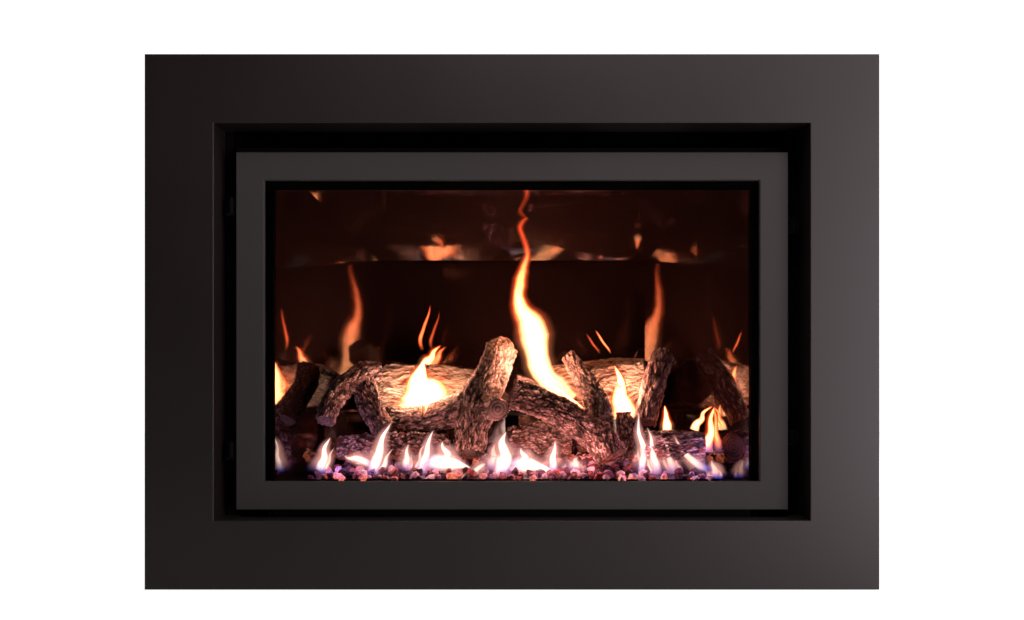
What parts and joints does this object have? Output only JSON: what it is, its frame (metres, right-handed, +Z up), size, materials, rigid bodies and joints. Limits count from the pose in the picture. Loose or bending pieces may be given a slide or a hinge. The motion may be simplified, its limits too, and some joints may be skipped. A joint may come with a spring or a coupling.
{
  "type": "fireplace insert",
  "caption": "Gas fireplace insert: a wide metal surround and a hinged glass door close a firebox with a ceramic log set, vent collars, blower and gas controls.",
  "frame": {"origin": "on the hearth under the middle of the outer box, at the bottom of the levelling feet", "axes": "+Z up, front of the surround towards -Y, +X to the right seen from the front"},
  "size_m": [1.118, 0.45, 0.817],
  "materials": {
    "surround_paint": "satin bronze powder coat",
    "door_paint": "satin graphite powder coat",
    "stove_black": "matt heat-resistant black",
    "plated_steel": "aluminised sheet",
    "liner_glass": "black glass-ceramic, mirror gloss",
    "clear_glass": "clear glass-ceramic",
    "rope_fibre": "woven glass-fibre rope",
    "fire_glass": "glossy fire glass and ember pieces",
    "log_ceramic": "cast and painted ceramic bark",
    "aluminium": "die-cast",
    "brass": "machined",
    "black_plastic": "moulded"
  },
  "bodies": {
    "insert": {"surround_panel": "surround_paint", "surround_bracket_left": "stove_black", "surround_bracket_right": "stove_black", "casing_base": "plated_steel", "casing_wrapper": "plated_steel", "casing_top": "plated_steel", "firebox_floor": "stove_black", "firebox_wrapper": "stove_black", "firebox_top": "stove_black", "firebox_front": "stove_black", "liner_left": "liner_glass", "liner_right": "liner_glass", "liner_back": "liner_glass", "ceiling_baffle": "liner_glass", "exhaust_collar": "plated_steel", "intake_collar": "plated_steel", "burner_tray": "stove_black", "floor_plate_left": "stove_black", "floor_plate_right": "stove_black", "burner_tube": "stove_black", "manifold_pipe": "aluminium", "pilot_burner": "plated_steel", "ember_media": "fire_glass", "log_grate": "stove_black", "valve_body": "aluminium", "shutoff_valve": "brass", "gas_line": "plated_steel", "control_module": "black_plastic", "junction_box": "plated_steel", "blower_housing": "plated_steel", "blower_motor": "stove_black", "log_rear_left": "log_ceramic", "log_rear_right": "log_ceramic", "log_fork": "log_ceramic", "log_centre": "log_ceramic", "log_front": "log_ceramic", "log_upright": "log_ceramic", "log_block": "log_ceramic", "log_chunk_left": "log_ceramic", "log_chunk_centre": "log_ceramic", "log_stump": "log_ceramic"},
    "door": {"door_frame": "door_paint", "door_glass": "clear_glass", "glass_retainer": "stove_black", "door_gasket": "rope_fibre"},
    "latch_lower": {"latch_lower": "stove_black"},
    "latch_upper": {"latch_upper": "stove_black"},
    "relief_door_left": {"relief_door_left": "plated_steel"},
    "relief_door_right": {"relief_door_right": "plated_steel"},
    "air_shutter": {"air_shutter": "plated_steel"},
    "valve_knob": {"valve_knob": "black_plastic"},
    "flame_knob": {"flame_knob": "black_plastic"},
    "shutoff_lever": {"shutoff_lever": "plated_steel"},
    "battery_tray": {"battery_tray": "black_plastic"},
    "fan_dial": {"fan_dial": "black_plastic"},
    "blower_rotor": {"blower_rotor": "plated_steel"},
    "foot_front_left": {"foot_front_left": "plated_steel"},
    "foot_front_right": {"foot_front_right": "plated_steel"},
    "foot_rear_left": {"foot_rear_left": "plated_steel"},
    "foot_rear_right": {"foot_rear_right": "plated_steel"}
  },
  "joints": [
    {"name": "foot_front_left_screw", "type": "slide", "parent": "insert", "child": "foot_front_left", "axis": [0, 0, -1], "range_m": [0, 0.015]},
    {"name": "foot_front_right_screw", "type": "slide", "parent": "insert", "child": "foot_front_right", "axis": [0, 0, -1], "range_m": [0, 0.015]},
    {"name": "foot_rear_left_screw", "type": "slide", "parent": "insert", "child": "foot_rear_left", "axis": [0, 0, -1], "range_m": [0, 0.015]},
    {"name": "foot_rear_right_screw", "type": "slide", "parent": "insert", "child": "foot_rear_right", "axis": [0, 0, -1], "range_m": [0, 0.015]},
    {"name": "door_hinge", "type": "hinge", "parent": "insert", "child": "door", "pos_m": [-0.438, -0.175, 0.4], "axis": [0, 0, -1], "range_deg": [0, 90]},
    {"name": "latch_lower_pivot", "type": "hinge", "parent": "door", "child": "latch_lower", "pos_m": [0.437, -0.175, 0.23], "axis": [0, 0, -1], "range_deg": [0, 18], "stiffness_Nm_per_rad": 0.4},
    {"name": "latch_upper_pivot", "type": "hinge", "parent": "door", "child": "latch_upper", "pos_m": [0.437, -0.175, 0.56], "axis": [0, 0, -1], "range_deg": [0, 18], "stiffness_Nm_per_rad": 0.4},
    {"name": "relief_door_left_hinge", "type": "hinge", "parent": "insert", "child": "relief_door_left", "pos_m": [-0.21, 0.025, 0.6891], "axis": [-1, 0, 0], "range_deg": [0, 15]},
    {"name": "relief_door_right_hinge", "type": "hinge", "parent": "insert", "child": "relief_door_right", "pos_m": [0.21, 0.025, 0.6891], "axis": [-1, 0, 0], "range_deg": [0, 15]},
    {"name": "air_shutter_turn", "type": "hinge", "parent": "insert", "child": "air_shutter", "pos_m": [-0.006, -0.075, 0.118], "axis": [1, 0, 0], "range_deg": [0, 45]},
    {"name": "valve_knob_turn", "type": "hinge", "parent": "insert", "child": "valve_knob", "pos_m": [-0.136, -0.13, 0.058], "axis": [0, -1, 0], "range_deg": [0, 180]},
    {"name": "flame_knob_turn", "type": "hinge", "parent": "insert", "child": "flame_knob", "pos_m": [-0.092, -0.13, 0.058], "axis": [0, -1, 0], "range_deg": [0, 120]},
    {"name": "shutoff_lever_turn", "type": "hinge", "parent": "insert", "child": "shutoff_lever", "pos_m": [-0.408, -0.095, 0.054], "axis": [0, -1, 0], "range_deg": [0, 90]},
    {"name": "battery_tray_slide", "type": "slide", "parent": "insert", "child": "battery_tray", "axis": [0, -1, 0], "range_m": [0, 0.05]},
    {"name": "fan_dial_turn", "type": "hinge", "parent": "insert", "child": "fan_dial", "pos_m": [0.396, -0.117, 0.058], "axis": [0, -1, 0], "range_deg": [0, 270]},
    {"name": "blower_spin", "type": "hinge", "parent": "insert", "child": "blower_rotor", "pos_m": [0, 0.147, 0.062], "axis": [1, 0, 0], "continuous": true}
  ]
}
